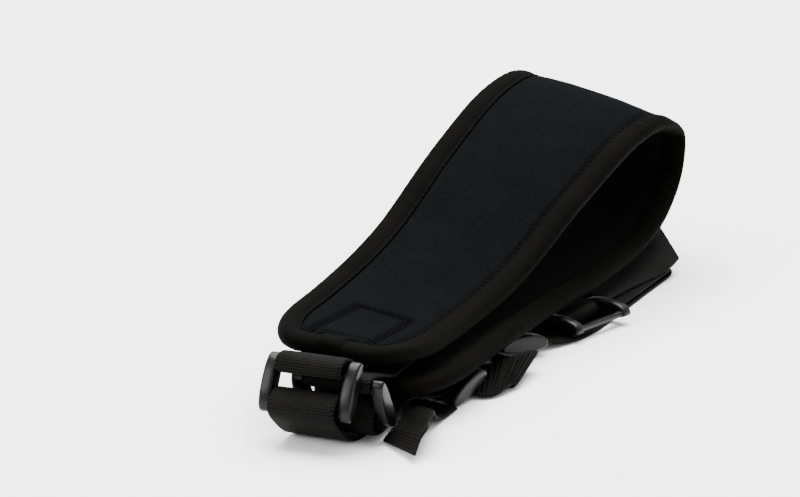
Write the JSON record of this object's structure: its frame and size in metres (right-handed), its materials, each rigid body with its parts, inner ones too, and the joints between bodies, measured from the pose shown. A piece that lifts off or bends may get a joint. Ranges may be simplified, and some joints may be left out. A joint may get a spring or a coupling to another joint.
{
  "type": "instrument neck strap",
  "caption": "Padded neck strap for an instrument, folded in half, with bound edges, webbing ends and tri-glide sliders gathered under it.",
  "frame": {"origin": "middle of the bounding box at the table, with +Z up", "axes": "+Y along the folded pad from its two ends to its fold; +X across the pad, to the right seen from the ends"},
  "size_m": [0.082, 0.2926, 0.0772],
  "materials": {
    "pad_cloth": "fine matt knit over foam",
    "edge_tape": "smooth folded tape with a stitched groove",
    "webbing": "ribbed woven webbing",
    "slider_plastic": "satin moulded plastic"
  },
  "bodies": {
    "root": {"pad": "pad_cloth", "pad_edge_tape": "edge_tape", "slider_1": "slider_plastic", "slider_2": "slider_plastic", "slider_3": "slider_plastic", "slider_4": "slider_plastic", "slider_5": "slider_plastic", "tab_upper": "webbing", "tab_lower": "webbing", "strap_upper": "webbing", "strap_lower": "webbing", "strap_tail": "webbing", "strap_loop": "webbing", "strap_middle": "webbing", "strap_far_end": "webbing"}
  },
  "joints": []
}
